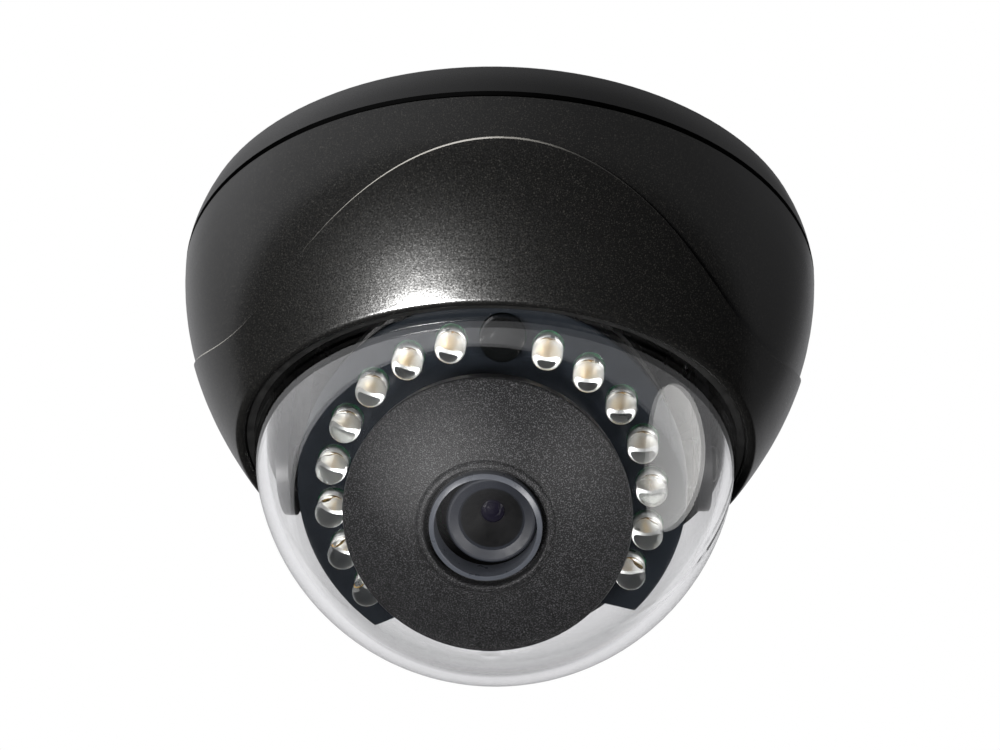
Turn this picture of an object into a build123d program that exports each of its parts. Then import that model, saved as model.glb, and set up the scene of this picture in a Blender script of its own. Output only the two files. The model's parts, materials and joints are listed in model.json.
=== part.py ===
from build123d import *
import os
from math import cos, hypot, radians, sin

# A ceiling dome camera, in millimetres. Z = 0 is the ceiling face and the camera hangs below it,
# towards -Z. -Y is the front, the side that the lens looks towards.

# ---------------------------------------------------------------- driving sizes: shell
BODY_R = 55.0            # widest radius, at the seam between base and cover
BASE_LEAN = 1.8          # how much the base narrows from the seam to the ceiling
BASE_H = 7.4             # height of the base's outer band
FLOOR_T = 2.5            # base floor
SPIGOT_WALL = 3.0        # ring of the base that the cover slides over
SPIGOT_H = 5.6           # how far it reaches below the band
SEAM_GAP = 0.6           # open line between band and cover
COVER_H = 32.5           # cover height from its rim to the lip
COVER_WALL = 2.0
RIM_H = 6.5              # straight bore at the top of the cover
COVER_FIT = 0.5          # radial clearance between cover bore and spigot
FLANK_DRAFT = 0.3        # how much the cover's flank leans in at the rim
EDGE = 0.5               # small broken edge on cast parts
LIP_W = 1.9              # width of the rounded lip round the dome
LOBES = 3                # raised lobes round the cover
LOBE_STEP = 0.45         # height of the lobes above the rest of the flank
LOBE_MID = 15.9          # middle of the lobe line, below the rim of the cover
LOBE_WAVE = 8.4          # its rise and fall
LOBE_SLANT = 0.8         # how far the step's face leans

# ---------------------------------------------------------------- driving sizes: dome
DOME_R = 41.0
DOME_WALL = 2.0
DOME_UP = 0.5            # the dome's centre is this far above the cover's lip line
GASKET_T = 1.35          # rubber lip between dome and cover
GASKET_GAP = 0.05        # clearance each side of the rubber lip
FLANGE_W = 2.4           # dome flange, beyond the dome's own radius
FLANGE_T = 2.0
SEAT_UP = 3.2            # the seat in the cover is this far above the dome's centre
GASKET_PAD = 1.0         # rubber under the flange
RING_T = 3.5             # retaining ring
EAR_T = 1.5              # its screw ears
EAR_R = 1.6
RING_GAP = 0.6           # retaining ring's bore beyond the dome's bore
RING_SCREW_OUT = 2.2     # ring screws, beyond the flange's edge
RING_SCREWS = 4

# ---------------------------------------------------------------- driving sizes: camera module
PIVOT_DROP = 4.24        # tilt axis below the dome's centre
PAN_REST = -4.02         # stored aim
TILT_REST = -51.55
TURN_REST = -4.88
HOUSING_R = 27.7
HOUSING_WALL = 1.8
HOUSING_BACK = 17.0      # depth of the housing behind the tilt axis
FLANGE_BACK = 4.3        # front flange of the housing, from this height to the LED board
FLANGE_INSET = 1.1       # flange edge inside the plate's edge
BOARD_BACK = 7.75        # underside of the LED board
LED_BOARD_T = 1.6
PLATE_T = 1.5
PLATE_R = 32.1
LED_RING_R = 26.4
LED_FIRST = 17.31        # first LED each side, degrees from the light sensor
LED_PITCH = 16.47
LEDS_RIGHT = 7
LEDS_LEFT = 8
LED_R = 2.5
LED_FLANGE_R = 2.9
LED_H = 8.65             # from the board to the tip
LED_FLANGE_T = 1.0
LED_GAP = 0.15           # round a LED in the plate
SENSOR_ANGLE = 0.8       # light sensor, degrees from the top of the ring
SENSOR_R = 3.7
SENSOR_H = 6.0           # smoked cap of the light sensor, above the board
SENSOR_ROUND = 2.2       # rounded edge of that cap
SENSOR_CAP_WALL = 0.8
SENSOR_CHIP_H = 3.0      # the sensor itself, inside the cap
BOARD_HOLE_R = 11.5      # hole in the LED board behind the lens
NOTCH_IN_R = 27.0        # inner edge of the plate's open sector, behind the front disc
NOTCH_LEFT_IN = (-14.7, -24.2)     # points on the two sides of the open sector
NOTCH_LEFT_OUT = (-18.2, -26.1)
NOTCH_RIGHT_IN = (19.0, -18.9)
NOTCH_RIGHT_OUT = (25.1, -19.9)
DISC_R = 23.3
DISC_EDGE_H = 23.6       # edge of the domed front disc above the tilt axis
DISC_SPHERE_R = 45.0
DISC_SKIRT = 3.6
DISC_T = 1.6
NECK_R = 20.0
NECK_WALL = 1.8
MOUTH_R = 9.87           # hole of the disc round the lens
COLLAR_W = 1.4           # raised edge round that hole
COLLAR_H = 0.5
BEZEL_R = 9.05
BEZEL_BORE = 8.2
BEZEL_H = 29.3
BEZEL_FLARE = 0.65
BEZEL_FOOT_H = 24.4
LENS_OFFSET = 0.75       # the lens sits a little off the middle of the disc
LENS_HEAD_R = 7.27
LENS_FACE_H = 25.6
LENS_HEAD_L = 5.2
LENS_FUNNEL_R = 5.05
LENS_FUNNEL_D = 0.9
LENS_CUP_D = 3.2
LENS_EYE_R = 1.95
LENS_THREAD_R = 6.0
LENS_BACK_H = 6.4
LENS_EYE_T = 2.2         # thickness of the small front element
LENS_REAR_R = 4.2
THREAD_FIT = 0.08        # lens thread, drawn as plain cylinders
HOLDER_R = 8.0
HOLDER_TOP = 17.5
HOLDER_FOOT = 18.0
HOLDER_EAR = 11.0        # screws of the holder's two ears, each side of the lens
LENS_NUT_H = 2.4
FILTER_H = 4.6

# ---------------------------------------------------------------- driving sizes: gimbal
BODY_CLEAR = 0.3         # between pieces that move past each other
RUNNING_FIT = 0.06       # radial, pin in bore
CRADLE_WALL = 2.0
CRADLE_H = 8.0
ARM_GAP = 1.9            # between the LED plate's edge and the arms
ARM_T = 2.0
ARM_W = 16.0
PAN_PLATE_T = 2.0
PAN_PLATE_Z = -4.5       # top of the turntable
PAN_PLATE_EDGE = 3.4     # turntable edge beyond the arms
PAN_HOLE_R = 9.5
SEAT_W = 7.0             # ring of the base that the turntable turns against
PIVOT_R = 1.5
PIVOT_HEAD_R = 3.0
PIVOT_HEAD_T = 1.4
TRUNNION_R = 4.0
WASHER_T = 0.5
WASHER_R = 4.0
LOCK_RING_H = 4.0
LOCK_RING_WALL = 2.8

# ---------------------------------------------------------------- driving sizes: small screws
SCREW_R = 0.85           # small machine screws
SCREW_HOLE_R = 0.9
THROUGH_HOLE_R = 1.05
TINY_SCREW_R = 0.75      # board and ring screws
TINY_HOLE_R = 0.8
TINY_THROUGH_R = 0.95
CLIP_SCREW_L = 4.6
LOCK_DOWN = 4.3          # lock screws below the band
LOCK_R = 1.25
PLATE_SCREW_IN = 2.85    # plate screws, outside the ring of LEDs
SINK_R = 1.5             # sunk heads in the back of the flange
SINK_UP = 1.4            # how deep they are sunk

# ---------------------------------------------------------------- driving sizes: mounting, cable
MOUNT_PCD = 88.0
MOUNT_HOLE_R = 2.25
MOUNT_PAD_R = 4.6
MOUNT_COUNT = 3
CLIP_COUNT = 3
CLIP_T = 1.4
CLIP_LAP = 1.8           # how far a clip reaches over the turntable
CLIP_W = 7.0
CLIP_BOSS_R = 2.6
CABLE_HOLE_R = 7.0
CABLE_R = 3.5
GROMMET_LIP = 1.7
ORING_R = 0.9            # section of the body seal
ORING_PROUD = 0.2        # how far it stands out of its groove
ORING_DOWN = 1.6         # seal below the band

# ---------------------------------------------------------------- driving sizes: electronics
BOARD_TOP = 0.8
BOARD_T = 1.6
BOARD_INSET = 6.9        # board edge inside the housing's bore
BOARD_CORNER = 3.0
POST_R = 2.2
POST_INSET = 3.0         # posts inside the board's edge
CHIP_T = 1.2
SENSOR_PACKAGE_T = 1.4   # image sensor
SENSOR_GLASS_T = 0.5
LINK_X = -4.0            # plug of the LED board's ribbon
LINK_H = 4.0

# ---------------------------------------------------------------- values that follow
BASE_TOP_R = BODY_R - BASE_LEAN
SEAM_Z = -BASE_H
RIM_Z = SEAM_Z - SEAM_GAP
LIP_Z = RIM_Z - COVER_H
SPIGOT_R = BODY_R - COVER_WALL - COVER_FIT - EDGE
SPIGOT_IN = SPIGOT_R - SPIGOT_WALL
SPIGOT_Z = SEAM_Z - SPIGOT_H
COVER_BORE = SPIGOT_R + COVER_FIT
DOME_Z = LIP_Z + DOME_UP
DOME_IN = DOME_R - DOME_WALL
COVER_MOUTH = DOME_R + GASKET_T + GASKET_GAP
LIP_R = COVER_MOUTH + LIP_W
FLANGE_R = DOME_R + FLANGE_W
SEAT_Z = DOME_Z + SEAT_UP
FLANGE_Z = SEAT_Z + GASKET_PAD
RING_Z = FLANGE_Z + FLANGE_T
EAR_Z = RING_Z + RING_T - EAR_T
RING_SCREW_R = FLANGE_R + RING_SCREW_OUT
PIVOT_Z = DOME_Z - PIVOT_DROP
HOUSING_IN = HOUSING_R - HOUSING_WALL
CRADLE_IN = HOUSING_R + BODY_CLEAR
CRADLE_OUT = CRADLE_IN + CRADLE_WALL
PLATE_BACK = BOARD_BACK + LED_BOARD_T
PLATE_FACE = PLATE_BACK + PLATE_T
FLANGE_OUT = PLATE_R - FLANGE_INSET
ARM_IN = PLATE_R + ARM_GAP
ARM_OUT = ARM_IN + ARM_T
PAN_PLATE_R = ARM_OUT + PAN_PLATE_EDGE
PAN_UNDER = PAN_PLATE_Z - PAN_PLATE_T
CLIP_SCREW_R = PAN_PLATE_R + 3.2
CLIP_Z = PAN_UNDER - BODY_CLEAR
BOARD_HALF = HOUSING_IN - BOARD_INSET
POST_AT = BOARD_HALF - POST_INSET
PLATE_SCREW_R = LED_RING_R + PLATE_SCREW_IN
DISC_SCREW_R = NECK_R - NECK_WALL - 1.8
TRUNNION_END = ARM_IN - WASHER_T - 0.2
LOCK_RING_TOP = -CRADLE_H / 2 - BODY_CLEAR
LED_ANGLES = [LED_FIRST + LED_PITCH * i for i in range(LEDS_RIGHT)]
LED_ANGLES += [-LED_FIRST - LED_PITCH * i for i in range(LEDS_LEFT)]

UP = (Align.CENTER, Align.CENTER, Align.MIN)


# ---------------------------------------------------------------- helpers
def turned(*points):
    """A solid turned about Z from an outline of (radius, height) points."""
    return revolve(Plane.XZ * make_face(Polyline(*points, close=True)), Axis.Z)


def tube(outer, inner, low, high):
    """A ring about Z between two heights."""
    ring = Pos(0, 0, low) * Cylinder(outer, high - low, align=UP)
    return ring - Pos(0, 0, low) * Cylinder(inner, high - low, align=UP)


def rod(radius, low, high):
    """A cylinder about Z between two heights."""
    return Pos(0, 0, low) * Cylinder(radius, high - low, align=UP)


def block(x, y, low, high):
    """A box centred on Z between two heights."""
    return Pos(0, 0, low) * Box(x, y, high - low, align=UP)


def round_about(shape, radius, angles):
    """Copies of a shape at the given angles from +X on a circle about Z, turned to face outwards."""
    return [Rot(0, 0, a) * Pos(radius, 0, 0) * shape for a in angles]


def clock(shape, radius, angles):
    """Copies on a circle of the module, at angles from its top (+Y), positive towards +X."""
    return round_about(shape, radius, [90 - a for a in angles])


def across(shape, side):
    """Turns a shape built along Z to lie along X, on the right (1) or left (-1)."""
    return Rot(0, 90 * side, 0) * shape


def screw(shank_r, shank_l, head_r, head_h, recess=0.45):
    """A cross-head screw along Z: the head's underside at Z = 0, its top up, shank down."""
    head = rod(head_r, 0, head_h)
    head = chamfer(head.edges().sort_by(Axis.Z)[-1], head_h * 0.3)
    cross = Box(head_r * 1.1, head_r * recess, head_h, align=UP)
    cross += Box(head_r * recess, head_r * 1.1, head_h, align=UP)
    body = head + rod(shank_r, -shank_l, 0)
    return body - Pos(0, 0, head_h * 0.55) * cross


def fused(shapes):
    """One solid from several that touch."""
    whole = shapes[0]
    for shape in shapes[1:]:
        whole += shape
    return whole


NODES = {}


def keep(name, shapes, place=Location()):
    """Stores one named piece, or a group of like pieces, at its place in the camera."""
    shapes = shapes if isinstance(shapes, list) else [shapes]
    solids = [place * solid for shape in shapes for solid in shape.solids()]
    NODES[name] = solids[0] if len(solids) == 1 else Compound(solids)


# ---------------------------------------------------------------- frames of the moving parts
pan_place = Rot(0, 0, PAN_REST)
tilt_place = pan_place * Pos(0, 0, PIVOT_Z) * Rot(90 - TILT_REST, 0, 0)
module_place = tilt_place * Rot(0, 0, TURN_REST)
lens_place = module_place * Pos(LENS_OFFSET, 0, 0)

mount_angles = [90 + 360 / MOUNT_COUNT * i for i in range(MOUNT_COUNT)]
clip_angles = [30 + 360 / CLIP_COUNT * i for i in range(CLIP_COUNT)]
ring_angles = [45 + 360 / RING_SCREWS * i for i in range(RING_SCREWS)]
lock_angles = [20, 90, 160]          # round the back, where they aren't seen from below in front


# ---------------------------------------------------------------- base, fixed to the ceiling
outer_band = make_face(
    [
        Line((0, 0), (BASE_TOP_R - EDGE, 0)),
        Line((BASE_TOP_R - EDGE, 0), (BASE_TOP_R, -EDGE)),
        ThreePointArc(
            (BASE_TOP_R, -EDGE),
            ((BASE_TOP_R + BODY_R) / 2 + 0.25, SEAM_Z / 2),
            (BODY_R, SEAM_Z + EDGE),
        ),
        Line((BODY_R, SEAM_Z + EDGE), (BODY_R - EDGE, SEAM_Z)),
        Line((BODY_R - EDGE, SEAM_Z), (0, SEAM_Z)),
        Line((0, SEAM_Z), (0, 0)),
    ]
)
base = revolve(Plane.XZ * outer_band, Axis.Z)
base += chamfer(rod(SPIGOT_R, SPIGOT_Z, SEAM_Z + 1).edges().sort_by(Axis.Z)[0], EDGE)
base -= rod(SPIGOT_IN, SPIGOT_Z - 1, -FLOOR_T)
seat_out = PAN_PLATE_R - 2.4
base += tube(seat_out, seat_out - SEAT_W, PAN_PLATE_Z + BODY_CLEAR, -FLOOR_T)
clip_boss = rod(CLIP_BOSS_R, CLIP_Z, -FLOOR_T) - rod(SCREW_HOLE_R, CLIP_Z, CLIP_Z + 4)
base = fused([base] + round_about(clip_boss, CLIP_SCREW_R, clip_angles))
mount_pad = rod(MOUNT_PAD_R, -FLOOR_T - 1.2, -FLOOR_T)
base = fused([base] + round_about(mount_pad, MOUNT_PCD / 2, mount_angles))
for hole in round_about(rod(MOUNT_HOLE_R, -FLOOR_T - 2, 1), MOUNT_PCD / 2, mount_angles):
    base -= hole
groove_z = SEAM_Z - ORING_DOWN
groove_r = SPIGOT_R + ORING_PROUD - 2 * ORING_R
base -= tube(SPIGOT_R + 1, groove_r - 0.05, groove_z - ORING_R - 0.1, groove_z + ORING_R + 0.1)
grommet_lip_r = CABLE_HOLE_R + GROMMET_LIP
lip_t = FLOOR_T / 2
base -= rod(CABLE_HOLE_R, -FLOOR_T - 1, 1)
base -= rod(grommet_lip_r + 0.2, -lip_t, 1)
keep("base_housing", base)

seal = Torus(groove_r + ORING_R, ORING_R)
keep("body_seal_ring", Pos(0, 0, groove_z) * seal)

grommet = rod(CABLE_HOLE_R - 0.05, -FLOOR_T, -lip_t) + rod(grommet_lip_r, -lip_t, -0.1)
grommet += rod(grommet_lip_r, -FLOOR_T - 1.3, -FLOOR_T) - rod(CABLE_R, -9, 1)
grommet -= rod(CABLE_R, -9, 1)
keep("cable_grommet", grommet)

clip_in = PAN_PLATE_R - CLIP_LAP
clip_l = CLIP_SCREW_R + CLIP_BOSS_R - clip_in
clip = Pos(clip_in + clip_l / 2, 0, CLIP_Z - CLIP_T) * Box(clip_l, CLIP_W, CLIP_T, align=UP)
clip = fillet(clip.edges().filter_by(Axis.Z), 1.5)
clip -= Pos(CLIP_SCREW_R, 0, 0) * rod(THROUGH_HOLE_R, CLIP_Z - 5, CLIP_Z + 1)
keep("pan_clips", round_about(clip, 0, clip_angles))
down = Rot(180, 0, 0)                # turns a screw's head to face down
clip_screw = Pos(0, 0, CLIP_Z - CLIP_T) * down * screw(SCREW_R, CLIP_SCREW_L, 2.1, 1.4)
keep("pan_clip_screws", round_about(clip_screw, CLIP_SCREW_R, clip_angles))


# ---------------------------------------------------------------- cover
def flank(grow):
    """Outline of the cover's flank, from rim to lip, grown outwards."""
    rim = (BODY_R + grow, RIM_Z)
    bend = (BODY_R + grow - FLANK_DRAFT, RIM_Z - COVER_H / 2)
    return Bezier(rim, bend, (LIP_R - LOBE_STEP + grow, LIP_Z))


def cover_blank(grow):
    """The filled cover, with its lip and the hole for the dome."""
    side = flank(grow)
    mouth = (COVER_MOUTH, LIP_Z + DOME_UP)
    lip = TangentArc(side @ 1, mouth, tangent=side % 1)
    inner = Polyline(mouth, (COVER_MOUTH, RIM_Z), side @ 0)
    return revolve(Plane.XZ * make_face([side, lip, inner]), Axis.Z)


def lobe_line(reach):
    """Closed line along the lobes' step, moved outwards along the step's slanted face."""
    slant = hypot(LOBE_STEP, LOBE_SLANT)
    points = []
    for i in range(24 * LOBES):
        turn = radians(360 * i / (24 * LOBES))
        height = RIM_Z - LOBE_MID + LOBE_WAVE * cos(LOBES * turn)
        radius = (flank(0) @ ((RIM_Z - height) / COVER_H)).X + reach * LOBE_STEP / slant
        height -= reach * LOBE_SLANT / slant
        points.append(Vector(radius * sin(turn), -radius * cos(turn), height))
    return Edge.make_spline(points, periodic=True)


def part_above(blank, face):
    """The piece of a blank on the upper side of a cutting face."""
    return Part() + max(blank.split(face, keep=Keep.ALL), key=lambda s: s.center().Z)


def part_below(blank, face):
    """The piece of a blank on the lower side of a cutting face."""
    return Part() + min(blank.split(face, keep=Keep.ALL), key=lambda s: s.center().Z)


inside_z = RIM_Z - RIM_H
seat_r = FLANGE_R + 0.4
hollow = make_face(
    [
        Line((0, RIM_Z), (COVER_BORE, RIM_Z)),
        Line((COVER_BORE, RIM_Z), (COVER_BORE, inside_z)),
        Bezier((COVER_BORE, inside_z), (COVER_BORE - 1.8, (inside_z + SEAT_Z) / 2), (seat_r, SEAT_Z)),
        Line((seat_r, SEAT_Z), (0, SEAT_Z)),
        Line((0, SEAT_Z), (0, RIM_Z)),
    ]
)
hollow = revolve(Plane.XZ * hollow, Axis.Z)
wave_face = Face.make_surface_from_curves(lobe_line(-22), lobe_line(3))
cover = part_above(cover_blank(0), wave_face) + part_below(cover_blank(LOBE_STEP), wave_face)
inward = Polyline(flank(0) @ 1, (0, LIP_Z), (0, RIM_Z), flank(0) @ 0)
envelope = revolve(Plane.XZ * make_face([flank(0), inward]), Axis.Z)
boss = rod(2.1, SEAT_Z - 1, EAR_Z)
bosses = [envelope & one for one in round_about(boss, RING_SCREW_R, ring_angles)]
cover = fused([cover - hollow] + bosses)
for place in round_about(rod(EAR_R + 0.3, EAR_Z, EAR_Z + 6), RING_SCREW_R, ring_angles):
    cover -= place
for hole in round_about(rod(TINY_HOLE_R, EAR_Z - 3, EAR_Z), RING_SCREW_R, ring_angles):
    cover -= hole
lock_z = SEAM_Z - LOCK_DOWN
for hole in round_about(across(rod(LOCK_R + 0.05, -4, 5), 1), COVER_BORE, lock_angles):
    cover -= Pos(0, 0, lock_z) * hole
keep("cover", cover)

lock = rod(LOCK_R, SPIGOT_R + BODY_CLEAR - COVER_BORE, 1.9)
lock -= Pos(0, 0, 0.9) * extrude(RegularPolygon(0.75, 6), 2)
lock = Pos(0, 0, lock_z) * across(chamfer(lock.edges().sort_by(Axis.Z)[0], 0.3), 1)
keep("cover_lock_screws", round_about(lock, COVER_BORE, lock_angles))


# ---------------------------------------------------------------- dome, its seal and ring
def bowl(radius):
    """Half a ball below the dome's centre, with a straight neck above."""
    half = Pos(0, 0, DOME_Z) * Sphere(radius, arc_size1=-90, arc_size2=0, align=None)
    return half + rod(radius, DOME_Z, RING_Z)


dome = bowl(DOME_R) + rod(FLANGE_R, FLANGE_Z, RING_Z) - bowl(DOME_IN)
keep("dome_bubble", dome)

pad = tube(FLANGE_R, DOME_R + GASKET_GAP, SEAT_Z, FLANGE_Z)
pad += tube(COVER_MOUTH - GASKET_GAP, DOME_R + GASKET_GAP, DOME_Z - 0.1, SEAT_Z)
keep("dome_gasket", pad)

ring_bore = DOME_IN + RING_GAP
retainer = rod(FLANGE_R, RING_Z, RING_Z + RING_T)
ear = rod(EAR_R, EAR_Z, EAR_Z + EAR_T) + Pos(-2, 0, 0) * block(4, 2 * EAR_R, EAR_Z, EAR_Z + EAR_T)
retainer = fused([retainer] + round_about(ear, RING_SCREW_R, ring_angles))
retainer -= rod(ring_bore, RING_Z - 1, RING_Z + RING_T + 1)
ear_hole = rod(TINY_THROUGH_R, EAR_Z - 1, EAR_Z + EAR_T + 1)
for hole in round_about(ear_hole, RING_SCREW_R, ring_angles):
    retainer -= hole
keep("dome_retaining_ring", retainer)
ring_screw = Pos(0, 0, EAR_Z + EAR_T) * screw(TINY_SCREW_R, EAR_T + 2.6, 1.5, 1.1)
keep("retaining_ring_screws", round_about(ring_screw, RING_SCREW_R, ring_angles))


# ---------------------------------------------------------------- pan bracket and tilt cradle
bracket = tube(PAN_PLATE_R, PAN_HOLE_R, PAN_UNDER, PAN_PLATE_Z)
for side in (-1, 1):
    arm = Pos(side * (ARM_IN + ARM_T / 2), 0, 0) * block(ARM_T, ARM_W, PIVOT_Z, PAN_UNDER)
    eye = Pos(0, 0, PIVOT_Z) * across(rod(ARM_W / 2, ARM_IN, ARM_OUT), side)
    rib = Polygon((ARM_IN - 5, PAN_UNDER), (ARM_IN, PAN_UNDER), (ARM_IN, PAN_UNDER - 6), align=None)
    rib = extrude(Plane.XZ * rib, 5, both=True)
    bracket += arm + eye + (rib if side > 0 else mirror(rib, Plane.YZ))
    bracket -= Pos(0, 0, PIVOT_Z) * across(rod(PIVOT_R + RUNNING_FIT, ARM_IN - 1, ARM_OUT + 1), side)
wire_hole = rod(4, PAN_UNDER - 1, PAN_PLATE_Z + 1)
for hole in round_about(wire_hole, (PAN_HOLE_R + seat_out) / 2, range(0, 360, 90)):
    bracket -= hole
keep("pan_bracket", bracket, pan_place)

washer = tube(WASHER_R, PIVOT_R + 0.1, ARM_IN - WASHER_T, ARM_IN)
keep("tilt_washers", [across(washer, side) for side in (-1, 1)], pan_place * Pos(0, 0, PIVOT_Z))

cradle = rod(CRADLE_OUT, -CRADLE_H / 2, CRADLE_H / 2)
for side in (-1, 1):
    cradle += across(rod(TRUNNION_R, CRADLE_OUT - 2, TRUNNION_END), side)
cradle -= rod(CRADLE_IN, -CRADLE_H, CRADLE_H)
for side in (-1, 1):
    cradle -= across(rod(1.25, CRADLE_IN + 0.8, TRUNNION_END + 1), side)
keep("tilt_cradle", cradle, tilt_place)

pivot = screw(PIVOT_R, ARM_OUT + 0.1 - TRUNNION_END, PIVOT_HEAD_R, PIVOT_HEAD_T, 0.3)
pivot += rod(1.2, -(ARM_OUT - CRADLE_IN - 1.2), 0)
pivot = Pos(0, 0, ARM_OUT + 0.1) * pivot
keep("tilt_pivot_screws", [across(pivot, side) for side in (-1, 1)], tilt_place)


# ---------------------------------------------------------------- turning housing
plate_screw_angles = [LED_FIRST + LED_PITCH * step for step in (2.5, 5.5)]
plate_screw_angles += [-angle for angle in plate_screw_angles]
disc_screw_angles = [0, 120, 240]
post_corners = [(x, y) for x in (-POST_AT, POST_AT) for y in (-POST_AT, POST_AT)]
board_back_z = BOARD_TOP - BOARD_T

floor_h = -HOUSING_BACK + HOUSING_WALL
housing = turned(
    (5, -HOUSING_BACK),
    (HOUSING_R - 3.5, -HOUSING_BACK),
    (HOUSING_R, -HOUSING_BACK + 3.5),
    (HOUSING_R, FLANGE_BACK),
    (FLANGE_OUT, FLANGE_BACK),
    (FLANGE_OUT, BOARD_BACK),
    (HOUSING_IN, BOARD_BACK),
    (HOUSING_IN, floor_h + 2),
    (HOUSING_IN - 2, floor_h),
    (5, floor_h),
)
post_screw_hole = rod(TINY_HOLE_R, board_back_z - 6, board_back_z)
for x, y in post_corners:
    housing += Pos(x, y, 0) * (rod(POST_R, floor_h - 0.2, board_back_z) - post_screw_hole)
sunk_hole = rod(SCREW_HOLE_R, 0, BOARD_BACK + 1) + rod(SINK_R, 0, FLANGE_BACK + SINK_UP)
for hole in clock(sunk_hole, PLATE_SCREW_R, plate_screw_angles):
    housing -= hole


def beyond(inner, outer, reach):
    """A point further along the line from inner to outer."""
    step = hypot(outer[0] - inner[0], outer[1] - inner[1])
    return tuple(o + (o - i) * reach / step for i, o in zip(inner, outer))


notch = Polygon(
    beyond(NOTCH_LEFT_OUT, NOTCH_LEFT_IN, 6),
    beyond(NOTCH_LEFT_IN, NOTCH_LEFT_OUT, 14),
    (-PLATE_R * 1.2, -PLATE_R * 1.6),
    (PLATE_R * 1.6, -PLATE_R * 1.6),
    beyond(NOTCH_RIGHT_IN, NOTCH_RIGHT_OUT, 14),
    beyond(NOTCH_RIGHT_OUT, NOTCH_RIGHT_IN, 6),
    align=None,
)
notch = Pos(0, 0, FLANGE_BACK) * extrude(notch, PLATE_FACE - FLANGE_BACK + 1)
flange_notch = notch - rod(HOUSING_R, FLANGE_BACK - 1, PLATE_FACE + 2)
plate_notch = notch - rod(NOTCH_IN_R, FLANGE_BACK - 1, PLATE_FACE + 2)
keep("module_housing", housing - flange_notch, module_place)

lock_ring_r = HOUSING_R + LOCK_RING_WALL
lock_ring = tube(lock_ring_r, HOUSING_R + 0.05, LOCK_RING_TOP - LOCK_RING_H, LOCK_RING_TOP)
lock_ring_angles = [90, 210, 330]
ring_mid = LOCK_RING_TOP - LOCK_RING_H / 2
for hole in round_about(across(rod(TINY_THROUGH_R, -1, 5), 1), HOUSING_R, lock_ring_angles):
    lock_ring -= Pos(0, 0, ring_mid) * hole
keep("rotation_lock_ring", lock_ring, module_place)
grub = rod(0.9, 0.05, LOCK_RING_WALL - 0.2) - Pos(0, 0, 1.6) * extrude(RegularPolygon(0.5, 6), 2)
grub = Pos(0, 0, ring_mid) * across(grub, 1)
keep("rotation_lock_screws", round_about(grub, HOUSING_R, lock_ring_angles), module_place)


# ---------------------------------------------------------------- LED board, its cover plate, LEDs
board = tube(PLATE_R - 0.7, BOARD_HOLE_R, BOARD_BACK, PLATE_BACK) - plate_notch
plate = tube(PLATE_R, BOARD_HOLE_R + 0.5, PLATE_BACK, PLATE_FACE)
plate = chamfer(plate.edges().group_by(Axis.Z)[-1].sort_by(SortBy.LENGTH)[-1], 0.25) - plate_notch
for hole in clock(rod(SCREW_HOLE_R, 0, PLATE_FACE - 0.5), PLATE_SCREW_R, plate_screw_angles):
    board -= hole
    plate -= hole
for hole in clock(rod(THROUGH_HOLE_R, 0, PLATE_FACE + 1), DISC_SCREW_R, disc_screw_angles):
    board -= hole
    plate -= hole
led_hole = rod(LED_R + LED_GAP, PLATE_BACK - 1, PLATE_FACE + 1)
led_hole += rod(LED_FLANGE_R + LED_GAP, PLATE_BACK - 1, PLATE_BACK + LED_FLANGE_T + 0.1)
for hole in clock(led_hole, LED_RING_R, LED_ANGLES):
    plate -= hole
for hole in clock(rod(SENSOR_R + LED_GAP, PLATE_BACK - 1, PLATE_FACE + 1), LED_RING_R, [SENSOR_ANGLE]):
    plate -= hole
keep("led_board", board, module_place)
keep("led_cover_plate", plate, module_place)

cup = Pos(-0.35, 0, 3.4) * Cone(0.8, 1.35, 1.2, align=UP)
anvil = Pos(-0.9, 0, 0) * block(0.6, 0.6, 0, 3.6) + cup
post = Pos(1.45, 0, 0) * block(0.5, 0.6, 0, 4.0)
led = rod(LED_FLANGE_R, 0, LED_FLANGE_T) + rod(LED_R, 0, LED_H - LED_R)
led += Pos(0, 0, LED_H - LED_R) * Sphere(LED_R)
led = led - anvil - post
on_board = module_place * Pos(0, 0, PLATE_BACK)
keep("ir_leds", clock(led, LED_RING_R, LED_ANGLES), on_board)
keep("led_leadframes", clock(anvil, LED_RING_R, LED_ANGLES) + clock(post, LED_RING_R, LED_ANGLES), on_board)

cap = fillet(rod(SENSOR_R, 0, SENSOR_H).edges().sort_by(Axis.Z)[-1], SENSOR_ROUND)
cap -= fillet(
    rod(SENSOR_R - SENSOR_CAP_WALL, -1, SENSOR_H - SENSOR_CAP_WALL).edges().sort_by(Axis.Z)[-1],
    SENSOR_ROUND - SENSOR_CAP_WALL,
)
chip = rod(SENSOR_R - SENSOR_CAP_WALL - 0.3, 0, SENSOR_CHIP_H)
keep("light_sensor_window", clock(cap, LED_RING_R, [SENSOR_ANGLE]), on_board)
keep("light_sensor", clock(chip, LED_RING_R, [SENSOR_ANGLE]), on_board)

sink_h = FLANGE_BACK + SINK_UP
plate_screw = Pos(0, 0, sink_h) * down * screw(SCREW_R, PLATE_FACE - 0.6 - sink_h, SINK_R - 0.1, 1.2)
keep("plate_screws", clock(plate_screw, PLATE_SCREW_R, plate_screw_angles), module_place)


# ---------------------------------------------------------------- front disc and lens surround
def disc_height(radius, sphere=DISC_SPHERE_R):
    """Height of the domed face at a radius, over the edge of the disc."""
    rise = (sphere**2 - radius**2) ** 0.5 - (sphere**2 - DISC_R**2) ** 0.5
    return DISC_EDGE_H + rise


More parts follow.
